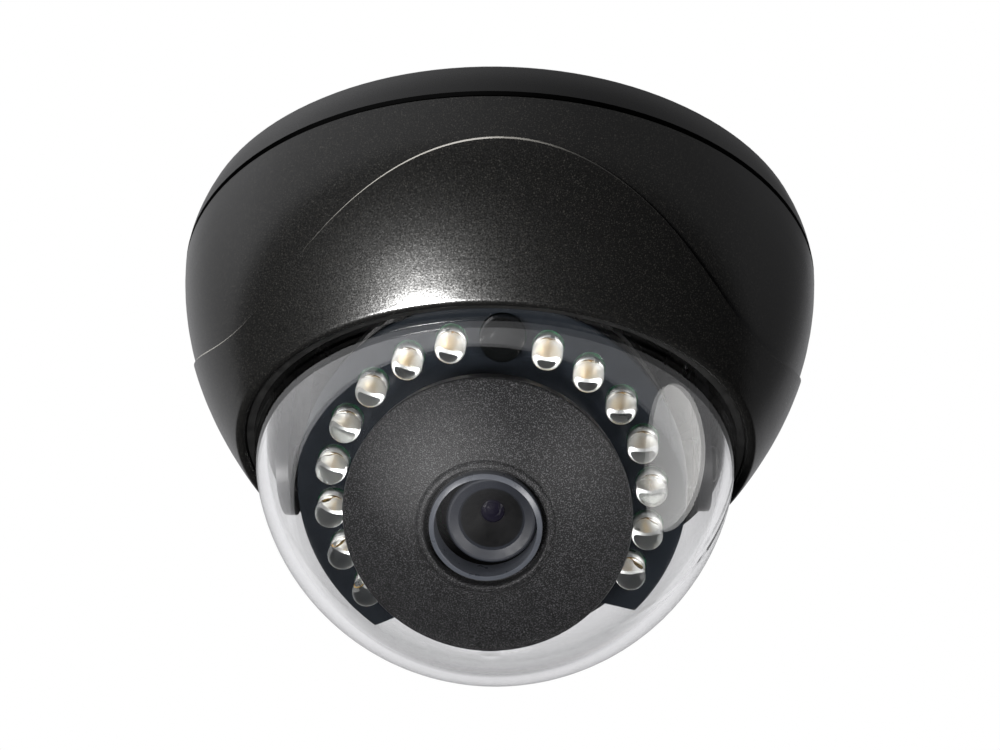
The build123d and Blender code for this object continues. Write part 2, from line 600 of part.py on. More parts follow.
collar_r = MOUTH_R + COLLAR_W
collar_top = disc_height(MOUTH_R + COLLAR_W / 2) + COLLAR_H
neck_in = NECK_R - NECK_WALL
under = disc_height(neck_in) - DISC_T
middle_r = (DISC_R + collar_r) / 2
shelf_h = disc_height(collar_r) - DISC_T - 0.9
disc = make_face(
    [
        Polyline(
            (DISC_R, DISC_EDGE_H - 0.3),
            (DISC_R - 0.5, DISC_EDGE_H - DISC_SKIRT),
            (DISC_R - 1.8, DISC_EDGE_H - DISC_SKIRT),
            (DISC_R - 2.2, DISC_EDGE_H - DISC_T),
            (NECK_R, DISC_EDGE_H - DISC_T + 0.2),
            (NECK_R, PLATE_FACE),
            (neck_in, PLATE_FACE),
            (neck_in, under),
            (BEZEL_R + 1.2, shelf_h),
            (BEZEL_R - 0.4, shelf_h),
            (BEZEL_R - 0.4, shelf_h + 1.0),
            (MOUTH_R, shelf_h + 1.0),
            (MOUTH_R, collar_top - 0.4),
        ),
        ThreePointArc(
            (MOUTH_R, collar_top - 0.4),
            (MOUTH_R + 0.12, collar_top - 0.12),
            (MOUTH_R + 0.4, collar_top),
        ),
        Bezier(
            (MOUTH_R + 0.4, collar_top),
            (collar_r - 0.3, collar_top - 0.05),
            (collar_r, disc_height(collar_r)),
        ),
        ThreePointArc(
            (collar_r, disc_height(collar_r)),
            (middle_r, disc_height(middle_r)),
            (DISC_R - 0.2, disc_height(DISC_R - 0.2)),
        ),
        Line((DISC_R - 0.2, disc_height(DISC_R - 0.2)), (DISC_R, DISC_EDGE_H - 0.3)),
    ]
)
disc = revolve(Plane.XZ * disc, Axis.Z)
disc_boss = rod(1.9, PLATE_FACE, under - 1.0)
disc_boss += Pos(1.2, 0, 0) * block(2.4, 2.4, PLATE_FACE, under - 1.0)
disc_boss -= rod(SCREW_HOLE_R, PLATE_FACE - 1, PLATE_FACE + 5.5)
disc = fused([disc] + clock(disc_boss, DISC_SCREW_R, disc_screw_angles))
keep("front_cover", disc, module_place)
disc_screw = Pos(0, 0, BOARD_BACK) * down * screw(SCREW_R, PLATE_FACE - BOARD_BACK + 5, 1.8, 1.3)
keep("front_cover_screws", clock(disc_screw, DISC_SCREW_R, disc_screw_angles), module_place)

bezel = turned(
    (BEZEL_BORE, BEZEL_FOOT_H),
    (BEZEL_R - 0.5, BEZEL_FOOT_H),
    (BEZEL_R - 0.5, shelf_h + 1.0),
    (BEZEL_R, shelf_h + 1.0),
    (BEZEL_R, BEZEL_H - 0.8),
    (BEZEL_R - BEZEL_FLARE, BEZEL_H),
    (BEZEL_BORE + 0.1, BEZEL_H),
    (BEZEL_BORE, BEZEL_H - 0.2),
)
keep("lens_bezel", bezel, module_place)


# ---------------------------------------------------------------- lens and its holder
head_back = LENS_FACE_H - LENS_HEAD_L
cup_floor = LENS_FACE_H - LENS_FUNNEL_D - LENS_CUP_D
barrel = turned(
    (0, LENS_BACK_H),
    (LENS_THREAD_R - 0.4, LENS_BACK_H),
    (LENS_THREAD_R, LENS_BACK_H + 0.4),
    (LENS_THREAD_R, head_back),
    (LENS_HEAD_R, head_back),
    (LENS_HEAD_R, LENS_FACE_H - 0.3),
    (LENS_HEAD_R - 0.3, LENS_FACE_H),
    (LENS_HEAD_R - 0.6, LENS_FACE_H),
    (LENS_FUNNEL_R + 0.3, LENS_FACE_H - LENS_FUNNEL_D + 0.35),
    (LENS_FUNNEL_R, LENS_FACE_H - LENS_FUNNEL_D),
    (LENS_EYE_R, cup_floor),
    (0, cup_floor),
)
barrel -= rod(LENS_EYE_R, cup_floor - LENS_EYE_T - 2, cup_floor + 1)
barrel -= rod(LENS_REAR_R, LENS_BACK_H - 1, LENS_BACK_H + 4)
barrel -= rod(1.5, LENS_BACK_H, LENS_FACE_H)
keep("lens_barrel", barrel, lens_place)
eye = rod(LENS_EYE_R - 0.02, cup_floor - LENS_EYE_T, cup_floor - 0.4)
eye += rod(LENS_EYE_R - 0.02, cup_floor - 1, cup_floor + 1) & (Pos(0, 0, cup_floor - 2.6) * Sphere(3.1))
keep("lens_front_element", eye, lens_place)
rear = rod(LENS_REAR_R - 0.02, LENS_BACK_H + 1.6, LENS_BACK_H + 3.9)
rear += rod(LENS_REAR_R - 0.02, LENS_BACK_H, LENS_BACK_H + 2) & (Pos(0, 0, LENS_BACK_H + 9.6) * Sphere(9.2))
keep("lens_rear_element", rear, lens_place)

holder_bore = LENS_THREAD_R + THREAD_FIT
foot_top = BOARD_TOP + 4.6
holder = block(HOLDER_FOOT, HOLDER_FOOT, BOARD_TOP, foot_top) + rod(HOLDER_R, foot_top, HOLDER_TOP)
for side in (-1, 1):
    lug = rod(2.3, BOARD_TOP, BOARD_TOP + 4)
    lug += Pos(-side * 2, 0, 0) * block(4, 4.6, BOARD_TOP, BOARD_TOP + 4)
    holder += Pos(side * HOLDER_EAR, 0, 0) * lug
    holder -= Pos(side * HOLDER_EAR, 0, 0) * rod(TINY_HOLE_R, BOARD_TOP - 1, BOARD_TOP + 3)
holder -= rod(holder_bore, BOARD_TOP + 3, HOLDER_TOP + 1)
holder -= block(15, 15, BOARD_TOP - 1, FILTER_H)
keep("lens_holder", holder, lens_place)
nut = tube(LENS_HEAD_R + 1.2, holder_bore, HOLDER_TOP, HOLDER_TOP + LENS_NUT_H)
nut_slot = block(1.6, 1.6, HOLDER_TOP - 1, HOLDER_TOP + 5)
for slot in round_about(nut_slot, LENS_HEAD_R + 1.2, range(0, 360, 30)):
    nut -= slot
keep("lens_lock_nut", nut, lens_place)
holder_screw = Pos(0, 0, board_back_z) * down * screw(TINY_SCREW_R, BOARD_T + 2.6, 1.5, 1.2)
holder_screws = [Pos(side * HOLDER_EAR, 0, 0) * holder_screw for side in (-1, 1)]
keep("lens_holder_screws", holder_screws, lens_place)
keep("ir_cut_filter", block(14.8, 14.8, FILTER_H - 0.6, FILTER_H), lens_place)


# ---------------------------------------------------------------- main board
main = block(2 * BOARD_HALF, 2 * BOARD_HALF, board_back_z, BOARD_TOP)
main = chamfer(main.edges().filter_by(Axis.Z), BOARD_CORNER)
for x, y in post_corners:
    main -= Pos(x, y, 0) * rod(THROUGH_HOLE_R, -9, 9)
for side in (-1, 1):
    main -= Pos(LENS_OFFSET + side * HOLDER_EAR, 0, 0) * rod(TINY_THROUGH_R, -9, 9)
keep("main_board", main, module_place)
board_screw = Pos(0, 0, BOARD_TOP) * screw(TINY_SCREW_R, BOARD_T + 4.5, 1.6, 1.2)
keep("board_screws", [Pos(x, y, 0) * board_screw for x, y in post_corners], module_place)
package_top = BOARD_TOP + SENSOR_PACKAGE_T
keep("image_sensor", block(9, 8, BOARD_TOP, package_top), lens_place)
keep("sensor_glass", block(7.4, 6.4, package_top, package_top + SENSOR_GLASS_T), lens_place)
chip_spots = [(-5.5, -3, 9, 9), (6.5, -2, 7, 7), (-6, 9, 6, 5), (7, 8, 5, 4)]
chips = [Pos(x, y, 0) * block(w, d, board_back_z - CHIP_T, board_back_z) for x, y, w, d in chip_spots]
for side in (-1, 1):
    chips = [chip - Pos(LENS_OFFSET + side * HOLDER_EAR, 0, 0) * rod(1.9, -9, 9) for chip in chips]
keep("board_chips", chips, module_place)
socket_y = -BOARD_HALF + 3.4
socket = Pos(0, socket_y, 0) * block(12, 4, board_back_z - 4, board_back_z)
keep("video_power_socket", socket, module_place)
low_plug = Pos(LINK_X, BOARD_HALF - 2.6, 0) * block(5, 3, BOARD_TOP, BOARD_TOP + LINK_H)
keep("led_link_socket", low_plug, module_place)
link = Pos(LINK_X, BOARD_HALF - 2.6, 0) * block(3.4, 0.8, BOARD_TOP + LINK_H, BOARD_BACK)
keep("led_link_ribbon", link, module_place)

os.makedirs("parts", exist_ok=True)
for name, shape in NODES.items():
    export_step(shape, f"parts/{name}.step")
print(len(NODES), "nodes")
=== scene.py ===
import json
import math

import bmesh
import bpy
from mathutils import Matrix, Vector


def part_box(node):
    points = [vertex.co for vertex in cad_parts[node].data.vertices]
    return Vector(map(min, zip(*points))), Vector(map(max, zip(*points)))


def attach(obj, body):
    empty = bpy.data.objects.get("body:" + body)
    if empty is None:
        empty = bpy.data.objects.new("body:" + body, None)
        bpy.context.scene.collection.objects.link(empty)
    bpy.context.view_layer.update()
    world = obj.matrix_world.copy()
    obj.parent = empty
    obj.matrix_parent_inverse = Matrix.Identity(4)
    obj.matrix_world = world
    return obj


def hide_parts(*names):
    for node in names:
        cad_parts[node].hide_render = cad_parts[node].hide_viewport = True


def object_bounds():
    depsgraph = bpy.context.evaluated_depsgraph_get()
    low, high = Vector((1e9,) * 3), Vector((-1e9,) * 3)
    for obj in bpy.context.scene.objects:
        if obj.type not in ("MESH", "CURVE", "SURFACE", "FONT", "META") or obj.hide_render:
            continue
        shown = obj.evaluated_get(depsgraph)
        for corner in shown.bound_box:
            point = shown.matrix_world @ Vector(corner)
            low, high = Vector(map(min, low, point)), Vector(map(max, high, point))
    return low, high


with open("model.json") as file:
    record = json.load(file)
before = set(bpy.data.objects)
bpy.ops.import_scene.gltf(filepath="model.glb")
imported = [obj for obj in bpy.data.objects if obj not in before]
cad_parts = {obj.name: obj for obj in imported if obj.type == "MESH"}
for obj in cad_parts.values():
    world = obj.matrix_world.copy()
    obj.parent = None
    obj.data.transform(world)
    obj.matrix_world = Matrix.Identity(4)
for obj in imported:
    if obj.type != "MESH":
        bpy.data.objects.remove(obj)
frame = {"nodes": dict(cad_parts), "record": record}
cad_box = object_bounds()
nodes = frame["nodes"]
joints = {joint["name"]: joint for joint in frame["record"]["behaviour"]["joints"]}
MM = 0.001

# ---------------------------------------------------------------- camera
VIEW_BELOW = math.radians(33.19)     # the camera looks up at the dome from the front
VIEW_ROLL = math.radians(1.50)
VIEW_DISTANCE = 0.584
VIEW_LENS = 122.3                    # millimetres, on a 36 mm wide sensor
VIEW_AIM = 0.37                      # how far down the object the aim is, as a share of its height
VIEW_SHIFT = (0.0031, 0.0208)        # lens shift, as a share of the sensor's width


def add_camera():
    """A long lens that looks up at the dome from the front."""
    low, high = cad_box
    target = Vector((0, 0, high[2] + (low[2] - high[2]) * VIEW_AIM))
    back = Vector((0, -math.cos(VIEW_BELOW), -math.sin(VIEW_BELOW)))
    data = bpy.data.cameras.new("camera")
    data.lens = VIEW_LENS
    data.shift_x, data.shift_y = VIEW_SHIFT
    camera = bpy.data.objects.new("camera", data)
    bpy.context.scene.collection.objects.link(camera)
    turn = back.to_track_quat("Z", "Y").to_matrix().to_4x4()
    camera.matrix_world = Matrix.Translation(target + back * VIEW_DISTANCE) @ turn
    camera.matrix_world = camera.matrix_world @ Matrix.Rotation(VIEW_ROLL, 4, "Z")
    bpy.context.scene.camera = camera


# ---------------------------------------------------------------- lights, world and floor
SKY_TILT = (0.054, 0.165, 1.0)       # the bright table above the object starts past this plane
SKY_FROM = 0.104
SKY_EDGE = 0.012                     # how soft its near edge is
SKY_SIDES = (-0.8, 0.55)             # its left and right ends, as the X of a direction
SKY_LEFT = 1.35                      # its brightness on the left and on the right
SKY_RIGHT = 0.42
SKY_DEPTH = 0.6                      # its far end, as the Y of a direction
SKY_FAR = 0.45                       # share of its brightness there
SKY_THROUGH = 1.6                    # the table is this much brighter through the clear dome
BACK_LIGHT = 0.92                    # brightness behind the dome
BACK_FROM = (0.55, 0.80)             # where it starts and is full, as the Y of a direction
BACK_ABOVE = (-0.2, 0.1)             # and as its Z
BACK_GLOSS = 0.45                    # share of it that the paint reflects
DARK = 0.018                         # unlit room in front and below
HAZE_TO = (-0.50, -0.65, -0.57)      # wide dim softbox in front, low on the left
HAZE_EDGE = 0.70                     # cosine of the angle from its middle to its edge
HAZE = 0.28
ROOM_COLOR = (0.98, 0.98, 1.0, 1)
LAMP_COLOR = (1.0, 0.99, 0.97)
LAMP_DISTANCE = 0.9                  # metres from the object; sizes in metres, power in watts
KEY_TO = (-0.445, -0.613, -0.652)    # main lamp, in front on the left and low
KEY_SIZE = (0.24, 0.24)
KEY_SHELL = 270.0                    # its power on the cover
KEY_INSIDE = 12.0                    # and on the pieces inside the dome
FILL_TO = (0.52, -0.62, -0.58)       # weaker lamp in front on the right, for the inside
FILL_POWER = 7.0
SIDE_TO = (0.98, 0.08, 0.0)          # softbox on the right, seen in the clear dome
SIDE_DISTANCE = 0.5
SIDE_SIZE = (0.36, 0.43)
SIDE_ROLL = math.radians(35)
SIDE_POWER = 0.8
CREST_TO = (-0.25, -0.38, 0.89)      # lamp above, for the top of the cover's raised lobe
CREST_SIZE = (0.36, 0.36)
CREST_POWER = 2.5
FLOOR_SIDE = 4.0                     # half the floor's width, in metres
FLOOR_HEIGHT = -1.2
OUTER_NODES = ("cover", "base_housing", "dome_bubble")     # not lit by the lamps for the inside


def add_lamp(name, toward, distance, size, power, lit, roll=0.0):
    """An oval softbox facing the object, which lights only the pieces given."""
    data = bpy.data.lights.new(name, "AREA")
    data.shape = "ELLIPSE"
    data.size, data.size_y = size
    data.energy = power
    data.color = LAMP_COLOR
    light = bpy.data.objects.new(name, data)
    bpy.context.scene.collection.objects.link(light)
    toward = Vector(toward).normalized()
    centre = (cad_box[0] + cad_box[1]) / 2
    turn = toward.to_track_quat("Z", "Y").to_matrix().to_4x4() @ Matrix.Rotation(roll, 4, "Z")
    light.matrix_world = Matrix.Translation(centre + toward * distance) @ turn
    receivers = bpy.data.collections.new("lit_by_" + name)
    for piece in lit:
        receivers.objects.link(piece)
    light.light_linking.receiver_collection = receivers


def add_lamps(lip, inner_pieces):
    """The main lamp leaves the clear dome out, as a polarised lamp would."""
    shell = [nodes["cover"], lip]
    inside = [nodes["dome_bubble"]] + inner_pieces
    add_lamp("key_shell", KEY_TO, LAMP_DISTANCE, KEY_SIZE, KEY_SHELL, shell)
    add_lamp("key_inside", KEY_TO, LAMP_DISTANCE, KEY_SIZE, KEY_INSIDE, inner_pieces)
    add_lamp("fill_inside", FILL_TO, LAMP_DISTANCE, KEY_SIZE, FILL_POWER, inner_pieces)
    add_lamp("side", SIDE_TO, SIDE_DISTANCE, SIDE_SIZE, SIDE_POWER, inside, SIDE_ROLL)
    add_lamp("crest", CREST_TO, LAMP_DISTANCE, CREST_SIZE, CREST_POWER, shell)


def add_world():
    """A white table above and behind, a dark room in front and a dim softbox in it."""
    world = bpy.data.worlds.new("studio")
    bpy.context.scene.world = world
    world.use_nodes = True
    tree = world.node_tree
    tree.nodes.clear()
    coord = tree.nodes.new("ShaderNodeTexCoord")
    split = tree.nodes.new("ShaderNodeSeparateXYZ")
    tree.links.new(coord.outputs["Generated"], split.inputs[0])

    def along(direction):
        dot = tree.nodes.new("ShaderNodeVectorMath")
        dot.operation = "DOT_PRODUCT"
        dot.inputs[1].default_value = direction
        tree.links.new(coord.outputs["Generated"], dot.inputs[0])
        return dot.outputs["Value"]

    def ramp(source, start, end, low, high):
        node = tree.nodes.new("ShaderNodeMapRange")
        node.interpolation_type = "SMOOTHSTEP"
        node.inputs["From Min"].default_value = start
        node.inputs["From Max"].default_value = end
        node.inputs["To Min"].default_value = low
        node.inputs["To Max"].default_value = high
        tree.links.new(source, node.inputs["Value"])
        return node.outputs["Result"]

    def joined(operation, one, other):
        node = tree.nodes.new("ShaderNodeMath")
        node.operation = operation
        tree.links.new(one, node.inputs[0])
        tree.links.new(other, node.inputs[1])
        return node.outputs[0]

    table = joined(
        "MULTIPLY",
        ramp(along(SKY_TILT), SKY_FROM, SKY_FROM + SKY_EDGE, 0.0, 1.0),
        ramp(split.outputs["X"], *SKY_SIDES, SKY_LEFT, SKY_RIGHT),
    )
    table = joined("MULTIPLY", table, ramp(split.outputs["Y"], 0.0, SKY_DEPTH, 1.0, SKY_FAR))
    behind = joined(
        "MULTIPLY",
        ramp(split.outputs["Y"], *BACK_FROM, 0.0, BACK_LIGHT),
        ramp(split.outputs["Z"], *BACK_ABOVE, 0.0, 1.0),
    )
    haze = ramp(along(Vector(HAZE_TO).normalized()), HAZE_EDGE, 1.0, DARK, HAZE)
    path = tree.nodes.new("ShaderNodeLightPath")
    passed = path.outputs["Is Transmission Ray"]
    table = joined("MULTIPLY", table, ramp(passed, 0.0, 1.0, 1.0, SKY_THROUGH))
    behind = joined("MULTIPLY", behind, ramp(passed, 0.0, 1.0, BACK_GLOSS, 1.0))
    level = joined("MAXIMUM", joined("MAXIMUM", table, behind), haze)

    room = tree.nodes.new("ShaderNodeBackground")
    room.inputs["Color"].default_value = ROOM_COLOR
    tree.links.new(level, room.inputs["Strength"])
    white = tree.nodes.new("ShaderNodeBackground")
    white.inputs["Color"].default_value = (1, 1, 1, 1)
    mix = tree.nodes.new("ShaderNodeMixShader")
    out = tree.nodes.new("ShaderNodeOutputWorld")
    tree.links.new(path.outputs["Is Camera Ray"], mix.inputs[0])
    tree.links.new(room.outputs[0], mix.inputs[1])
    tree.links.new(white.outputs[0], mix.inputs[2])
    tree.links.new(mix.outputs[0], out.inputs["Surface"])


def add_floor():
    mesh = bpy.data.meshes.new("floor")
    turns = ((-1, -1), (1, -1), (1, 1), (-1, 1))
    corners = [(x * FLOOR_SIDE, y * FLOOR_SIDE, FLOOR_HEIGHT) for x, y in turns]
    mesh.from_pydata(corners, [], [(0, 1, 2, 3)])
    floor = bpy.data.objects.new("floor", mesh)
    bpy.context.scene.collection.objects.link(floor)
    material = bpy.data.materials.new("floor_pale")
    material.use_nodes = True
    shader = material.node_tree.nodes["Principled BSDF"]
    shader.inputs["Base Color"].default_value = (0.8, 0.8, 0.79, 1)
    shader.inputs["Roughness"].default_value = 0.6
    mesh.materials.append(material)
    # the floor shows in the views from above, but the dark room is what the black paint reflects
    floor.visible_glossy = False
    floor.visible_diffuse = False
    floor.visible_transmission = False


# ---------------------------------------------------------------- axes of the module and its lens
module_axis = Vector(joints["turn"]["axis"])
module_centre = Vector(joints["turn"]["pos_m"])
lens_centre = Vector(joints["lens_focus"]["pos_m"])
module_right = (lens_centre - module_centre).normalized()
module_up = module_axis.cross(module_right)


# ---------------------------------------------------------------- materials
CUP_EDGE = 5.05 * MM                 # radius of the dark cup in the lens face
CUP_BLACK = (0.0015, 0.0015, 0.0018)
LENS_BLUE = (0.014, 0.016, 0.022)
GRAIN_SHINE = 0.07                   # how much the paint's grain varies its roughness
CLEAR_SHADOW = (0.92, 0.92, 0.93, 1)     # lamp light that clear pieces let through
STEP_HIGHLIGHT_COLOR = (0.06, 0.058, 0.054)     # painted highlight: lighter paint on the upward-facing step of the cover's lobes, for the bright line that the step reflects
STEP_FACING = (0.25, 0.40)           # Z of the surface direction where it starts and is full
STEP_OUTWARD = (5 * MM, 9 * MM)      # the same for how far a face looks away from the axis
STEP_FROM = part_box("cover")[1][2] - 5 * MM      # only below this height
STEP_FADE = 1 * MM


def principled(name, color, roughness, metallic=0.0, ior=1.5, specular=0.5):
    material = bpy.data.materials.new(name)
    material.use_nodes = True
    shader = material.node_tree.nodes["Principled BSDF"]
    shader.inputs["Base Color"].default_value = (*color, 1)
    shader.inputs["Roughness"].default_value = roughness
    shader.inputs["Metallic"].default_value = metallic
    shader.inputs["IOR"].default_value = ior
    shader.inputs["Specular IOR Level"].default_value = specular
    return material, material.node_tree, shader


def noise(tree, scale, detail, roughness=0.5):
    """A noise texture in the piece's own space; scale is in cells per metre."""
    coord = tree.nodes.new("ShaderNodeTexCoord")
    texture = tree.nodes.new("ShaderNodeTexNoise")
    texture.inputs["Scale"].default_value = scale
    texture.inputs["Detail"].default_value = detail
    texture.inputs["Roughness"].default_value = roughness
    tree.links.new(coord.outputs["Object"], texture.inputs["Vector"])
    return texture


def spread(tree, source, low, high, from_low=0.3, from_high=0.7):
    """Maps a texture's middle range to a range of values."""
    node = tree.nodes.new("ShaderNodeMapRange")
    node.inputs["From Min"].default_value = from_low
    node.inputs["From Max"].default_value = from_high
    node.inputs["To Min"].default_value = low
    node.inputs["To Max"].default_value = high
    tree.links.new(source, node.inputs["Value"])
    return node.outputs["Result"]


def tint(tree, source, shader, low, high):
    """Base colour between two colours, by a value from 0 to 1."""
    mix = tree.nodes.new("ShaderNodeMix")
    mix.data_type = "RGBA"
    mix.inputs[6].default_value = (*low, 1)
    mix.inputs[7].default_value = (*high, 1)
    tree.links.new(source, mix.inputs[0])
    tree.links.new(mix.outputs[2], shader.inputs["Base Color"])


def bump(tree, source, shader, strength, distance):
    node = tree.nodes.new("ShaderNodeBump")
    node.inputs["Strength"].default_value = strength
    node.inputs["Distance"].default_value = distance
    tree.links.new(source, node.inputs["Height"])
    tree.links.new(node.outputs[0], shader.inputs["Normal"])


def powder_coat(name, color, fleck, roughness, grain, depth, specular=0.5, fleck_from=0.64):
    """Fine-grained baked paint: small bumps with a few lighter flecks."""
    material, tree, shader = principled(name, color, roughness, specular=specular)
    grains = noise(tree, grain, 2.0, 0.6)
    flecks = noise(tree, grain * 1.3, 0.0)
    tint(tree, spread(tree, flecks.outputs["Fac"], 0, 1, fleck_from, 0.8), shader, color, fleck)
    rough = spread(tree, grains.outputs["Fac"], roughness - GRAIN_SHINE, roughness + GRAIN_SHINE)
    tree.links.new(rough, shader.inputs["Roughness"])
    bump(tree, grains.outputs["Fac"], shader, 1.0, depth)
    return material


def painted_step_highlight(material):
    """Painted highlight: lighter paint on outer faces that look upwards, the step along the lobes,
    in place of the bright line that the step reflects.
    """
    tree = material.node_tree
    shader = tree.nodes["Principled BSDF"]
    coord = tree.nodes.new("ShaderNodeTexCoord")
    place = tree.nodes.new("ShaderNodeSeparateXYZ")
    facing = tree.nodes.new("ShaderNodeSeparateXYZ")
    flat = tree.nodes.new("ShaderNodeVectorMath")
    flat.operation = "MULTIPLY"
    flat.inputs[1].default_value = (1, 1, 0)
    outward = tree.nodes.new("ShaderNodeVectorMath")
    outward.operation = "DOT_PRODUCT"
    tree.links.new(coord.outputs["Object"], place.inputs[0])
    tree.links.new(coord.outputs["Normal"], facing.inputs[0])
    tree.links.new(coord.outputs["Object"], flat.inputs[0])
    tree.links.new(flat.outputs[0], outward.inputs[0])
    tree.links.new(coord.outputs["Normal"], outward.inputs[1])
    share = spread(tree, facing.outputs["Z"], 0, 1, *STEP_FACING)
    for other in (
        spread(tree, outward.outputs["Value"], 0, 1, *STEP_OUTWARD),
        spread(tree, place.outputs["Z"], 1, 0, STEP_FROM, STEP_FROM + STEP_FADE),
    ):
        product = tree.nodes.new("ShaderNodeMath")
        product.operation = "MULTIPLY"
        tree.links.new(share, product.inputs[0])
        tree.links.new(other, product.inputs[1])
        share = product.outputs[0]
    # mix in the lighter colour of the painted highlight on the step
    mix = tree.nodes.new("ShaderNodeMix")
    mix.data_type = "RGBA"
    tree.links.new(share, mix.inputs[0])
    tree.links.new(shader.inputs["Base Color"].links[0].from_socket, mix.inputs[6])
    mix.inputs[7].default_value = (*STEP_HIGHLIGHT_COLOR, 1)
    tree.links.new(mix.outputs[2], shader.inputs["Base Color"])
    return material


def plain(name, color, roughness, metallic=0.0, depth=0.00001):
    """A moulded or machined finish with slight unevenness."""
    material, tree, shader = principled(name, color, roughness, metallic)
    cells = noise(tree, 400.0, 3.0)
    rough = spread(tree, cells.outputs["Fac"], roughness * 0.85, roughness * 1.15)
    tree.links.new(rough, shader.inputs["Roughness"])
    darker = tuple(c * 0.85 for c in color)
    tint(tree, spread(tree, cells.outputs["Fac"], 0, 1), shader, darker, color)
    bump(tree, cells.outputs["Fac"], shader, 0.6, depth)
    return material


def clear(name, color, ior):
    """Clear plastic or epoxy that lets lamp light through to what it covers."""
    material, tree, shader = principled(name, color, 0.0, ior=ior)
    shader.inputs["Transmission Weight"].default_value = 1.0
    out = tree.nodes["Material Output"]
    path = tree.nodes.new("ShaderNodeLightPath")
    mix = tree.nodes.new("ShaderNodeMixShader")
    through = tree.nodes.new("ShaderNodeBsdfTransparent")
    through.inputs["Color"].default_value = CLEAR_SHADOW
    tree.links.new(path.outputs["Is Shadow Ray"], mix.inputs[0])
    tree.links.new(shader.outputs[0], mix.inputs[1])
    tree.links.new(through.outputs[0], mix.inputs[2])
    tree.links.new(mix.outputs[0], out.inputs["Surface"])
    return material


def lens_finish():
    """Blue-black anodised lens head with a dead black cup inside its face."""
    material, tree, shader = principled("lens_metal", (0.02, 0.023, 0.032), 0.5, specular=0.4)
    coord = tree.nodes.new("ShaderNodeTexCoord")
    offset = tree.nodes.new("ShaderNodeVectorMath")
    offset.operation = "SUBTRACT"
    offset.inputs[1].default_value = lens_centre
    cross = tree.nodes.new("ShaderNodeVectorMath")
    cross.operation = "CROSS_PRODUCT"
    cross.inputs[1].default_value = module_axis
    length = tree.nodes.new("ShaderNodeVectorMath")
    length.operation = "LENGTH"
    tree.links.new(coord.outputs["Object"], offset.inputs[0])
    tree.links.new(offset.outputs[0], cross.inputs[0])
    tree.links.new(cross.outputs[0], length.inputs[0])
    outer = spread(tree, length.outputs["Value"], 0, 1, CUP_EDGE - 0.1 * MM, CUP_EDGE)
    tint(tree, outer, shader, CUP_BLACK, LENS_BLUE)
    cells = noise(tree, 900, 3.0)
    tree.links.new(spread(tree, cells.outputs["Fac"], 0.44, 0.56), shader.inputs["Roughness"])
    bump(tree, cells.outputs["Fac"], shader, 0.5, 0.000004)
    return material


def make_materials():
    """One finish for each of the record's material slots."""
    return {
        "base_paint": powder_coat(
            "base_paint", (0.002,) * 3, (0.006,) * 3, 0.30, 6000, 0.000004, 0.22
        ),
        # the cover's paint carries a painted highlight along the step of its lobes
        "cover_paint": painted_step_highlight(powder_coat(
            "cover_paint", (0.0003,) * 3, (0.0022, 0.0021, 0.0019), 0.205, 4300, 0.000012, 0.22
        )),
        "clear_dome": clear("clear_dome", (1, 1, 1), 1.585),
        "seal_rubber": plain("seal_rubber", (0.004, 0.004, 0.004), 0.6),
        "screw_steel": plain("screw_steel", (0.55, 0.55, 0.56), 0.3, metallic=1.0),
        "black_screw": plain("black_screw", (0.02, 0.02, 0.02), 0.35, metallic=0.6),
        "bracket_plastic": plain("bracket_plastic", (0.006, 0.006, 0.007), 0.4),
        "housing_alloy": plain("housing_alloy", (0.005, 0.005, 0.006), 0.45),
        "ring_plastic": plain("ring_plastic", (0.01, 0.01, 0.01), 0.45),
        "circuit_board": plain("circuit_board", (0.004, 0.10, 0.035), 0.3),
        "plate_gloss": plain("plate_gloss", (0.010, 0.0125, 0.016), 0.14, depth=0.000002),
        "led_epoxy": clear("led_epoxy", (0.98, 1.0, 0.99), 1.5),
        "leadframe": plain("leadframe", (0.97, 0.97, 0.95), 0.3, metallic=1.0),
        "die_gold": plain("die_gold", (0.55, 0.36, 0.12), 0.25, metallic=1.0),
        "sensor_black": plain("sensor_black", (0.004, 0.004, 0.005), 0.2),
        "smoked_cap": plain("smoked_cap", (0.003, 0.0035, 0.0035), 0.06, depth=0.000001),
        "disc_paint": powder_coat(
            "disc_paint", (0.005, 0.005, 0.0052), (0.08, 0.08, 0.083), 0.5, 4200, 0.00003, 0.2, 0.52
        ),
        "bezel_black": plain("bezel_black", (0.066, 0.072, 0.085), 0.30),
        "lens_metal": lens_finish(),
        "lens_glass": plain("lens_glass", (0.003, 0.002, 0.008), 0.03),
        "filter_glass": plain("filter_glass", (0.02, 0.05, 0.05), 0.05),
        "chip_resin": plain("chip_resin", (0.02, 0.02, 0.02), 0.5),
        "socket_plastic": plain("socket_plastic", (0.75, 0.72, 0.64), 0.4),
    }


# ---------------------------------------------------------------- pieces of a node
def islands(name):
    """The vertices of each separate solid in a CAD node."""
    work = bmesh.new()
    work.from_mesh(nodes[name].data)
    bmesh.ops.remove_doubles(work, verts=work.verts, dist=0.000002)
    seen = set()
    groups = []
    for start in work.verts:
        if start.index in seen:
            continue
        seen.add(start.index)
        stack = [start]
        group = []
        while stack:
            vert = stack.pop()
            group.append(vert.co.copy())
            for edge in vert.link_edges:
                other = edge.other_vert(vert)
                if other.index not in seen:
                    seen.add(other.index)
                    stack.append(other)
        groups.append(group)
    work.free()
    return groups


def mesh_object(name, work, material, body):
    """A finished piece from a bmesh, smooth where it is round."""
    mesh = bpy.data.meshes.new(name)
    bmesh.ops.recalc_face_normals(work, faces=work.faces)
    work.to_mesh(mesh)
    work.free()
    mesh.materials.append(material)
    mesh.polygons.foreach_set("use_smooth", [True] * len(mesh.polygons))
    mesh.set_sharp_from_angle(angle=math.radians(35))
    piece = bpy.data.objects.new(name, mesh)
    bpy.context.scene.collection.objects.link(piece)
    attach(piece, body)
    return piece


